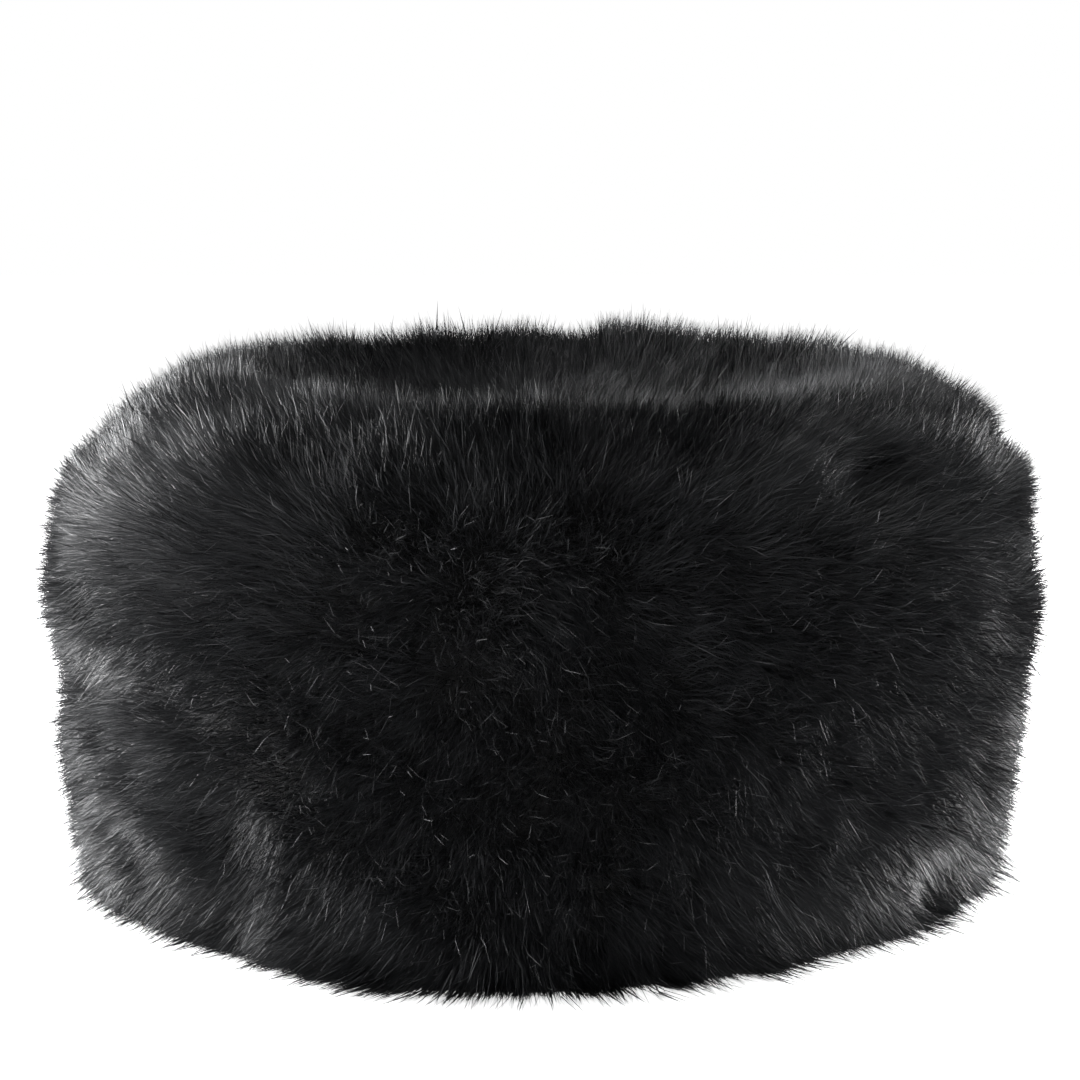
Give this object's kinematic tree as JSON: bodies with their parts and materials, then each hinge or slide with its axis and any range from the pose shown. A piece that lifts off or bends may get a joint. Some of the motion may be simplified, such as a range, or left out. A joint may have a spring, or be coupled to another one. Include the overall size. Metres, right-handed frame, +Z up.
{
  "type": "cossack hat",
  "caption": "Black long-pile fur cossack hat of pillbox form: a side band round the head and a dished oval crown tip.",
  "frame": {"origin": "middle of the flat lower rim, on the surface that the hat lies on", "axes": "+Z up through the crown, -Y to the front of the hat, +X to the left of a person who wears it"},
  "size_m": [0.251, 0.2663, 0.1364],
  "materials": {
    "black_fur": "long soft black pile on a knitted backing, with a low grazing sheen"
  },
  "bodies": {
    "root": {"side_band": "black_fur", "crown_tip": "black_fur"}
  },
  "joints": []
}
